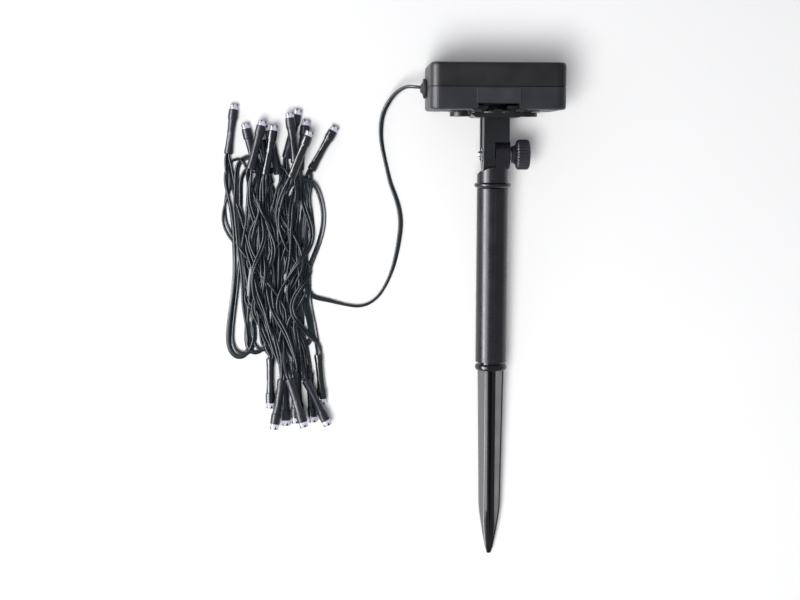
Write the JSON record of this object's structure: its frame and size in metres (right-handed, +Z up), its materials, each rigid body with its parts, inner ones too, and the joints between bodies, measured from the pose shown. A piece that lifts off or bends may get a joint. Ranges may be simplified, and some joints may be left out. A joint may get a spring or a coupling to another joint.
{
  "type": "solar string lights",
  "caption": "Solar string lights: a solar head on a tilting ground stake, with a flat twin lead to a hank of green-black wire and small clear LED lamps.",
  "frame": {"origin": "on the table under the middle of the head-and-stake assembly's box, which lies down: midway between the spike's tip and the head's top face, on the stake's centre line", "axes": "+Y towards the head along the table, +Z up off the table, +X to the right seen from above, on the thumb knob's side; the stake slopes 5.97 degrees up towards +Y"},
  "size_m": [0.1893, 0.28, 0.0619],
  "materials": {
    "housing_plastic": "fine matt texture",
    "bracket_plastic": "satin",
    "fitting_plastic": "satin",
    "pole_plastic": "satin",
    "spike_plastic": "gloss",
    "knob_plastic": "satin",
    "plated_steel": "bright zinc",
    "nickel_contact": "bright nickel",
    "seal_rubber": "matt",
    "button_rubber": "matt",
    "solar_laminate": "glossy laminate over dark cells",
    "board_laminate": "solder mask",
    "chip_resin": "matt",
    "ferrite": "matt",
    "battery_wrap": "shrink film",
    "switch_plastic": "satin",
    "cable_pvc": "soft gloss",
    "lamp_sleeve": "satin",
    "led_resin": "clear"
  },
  "bodies": {
    "solar_head": {"base_shell": "housing_plastic", "top_cover": "housing_plastic", "case_seal": "seal_rubber", "solar_panel": "solar_laminate", "circuit_board": "board_laminate", "controller_chip": "chip_resin", "charge_coil": "ferrite", "battery_cell": "battery_wrap", "battery_spring": "nickel_contact", "battery_contact": "nickel_contact", "power_switch": "switch_plastic", "mode_switch": "switch_plastic", "case_screw_1": "plated_steel", "case_screw_2": "plated_steel", "case_screw_3": "plated_steel", "case_screw_4": "plated_steel", "cable_grommet": "seal_rubber", "lead_cable": "cable_pvc", "string_hank": "cable_pvc", "led_lamp_01": "lamp_sleeve", "led_lamp_02": "lamp_sleeve", "led_lamp_03": "lamp_sleeve", "led_lamp_04": "lamp_sleeve", "led_lamp_05": "lamp_sleeve", "led_lamp_06": "lamp_sleeve", "led_lamp_07": "lamp_sleeve", "led_lamp_08": "lamp_sleeve", "led_lamp_09": "lamp_sleeve", "led_lamp_10": "lamp_sleeve", "led_lamp_11": "lamp_sleeve", "led_lamp_12": "lamp_sleeve", "led_lamp_13": "lamp_sleeve", "led_lamp_14": "lamp_sleeve", "led_lamp_15": "lamp_sleeve", "led_lamp_16": "lamp_sleeve", "led_lamp_17": "lamp_sleeve", "led_lamp_18": "lamp_sleeve", "led_lamp_19": "lamp_sleeve", "led_lamp_20": "lamp_sleeve"},
    "power_button": {"power_button": "button_rubber"},
    "mode_button": {"mode_button": "button_rubber"},
    "battery_door": {"battery_door": "housing_plastic", "battery_door_screw": "plated_steel"},
    "bracket": {"mounting_bracket": "bracket_plastic", "hex_nut": "plated_steel"},
    "washer": {"clamp_washer": "plated_steel"},
    "knob": {"thumb_knob": "knob_plastic", "clamp_bolt": "plated_steel"},
    "ferrule": {"pole_ferrule": "fitting_plastic"},
    "tube": {"pole_tube": "pole_plastic"},
    "spike": {"ground_spike": "spike_plastic"}
  },
  "joints": [
    {"name": "power_button_press", "type": "slide", "parent": "solar_head", "child": "power_button", "axis": [0, 0.9946, 0.104], "range_m": [0, 0.0008], "stiffness_N_per_m": 1200},
    {"name": "mode_button_press", "type": "slide", "parent": "solar_head", "child": "mode_button", "axis": [0, 0.9946, 0.104], "range_m": [0, 0.0008], "stiffness_N_per_m": 1200},
    {"name": "battery_door_lift", "type": "slide", "parent": "solar_head", "child": "battery_door", "axis": [0, -0.9946, -0.104], "range_m": [0, 0.012]},
    {"name": "bracket_slide", "type": "slide", "parent": "solar_head", "child": "bracket", "axis": [0, -0.104, 0.9946], "range_m": [0, 0.0395]},
    {"name": "head_tilt", "type": "hinge", "parent": "bracket", "child": "ferrule", "pos_m": [0, 0.08745, 0.02713], "axis": [-1, 0, 0], "range_deg": [0, 75]},
    {"name": "pole_turn", "type": "hinge", "parent": "ferrule", "child": "tube", "pos_m": [0, 0.01932, 0.02001], "axis": [0, 0.9946, 0.104], "continuous": true},
    {"name": "spike_pull", "type": "slide", "parent": "tube", "child": "spike", "axis": [0, -0.9946, -0.104], "range_m": [0, 0.02]},
    {"name": "washer_shift", "type": "slide", "parent": "bracket", "child": "washer", "axis": [1, 0, 0], "range_m": [0, 0.0014]},
    {"name": "knob_turn", "type": "hinge", "parent": "washer", "child": "knob", "pos_m": [0, 0.08745, 0.02713], "axis": [1, 0, 0], "range_deg": [0, 720]}
  ],
  "couplings": [
    {"joint": "knob_turn", "follows": "washer_shift", "rad_per_m": 8975.9}
  ]
}
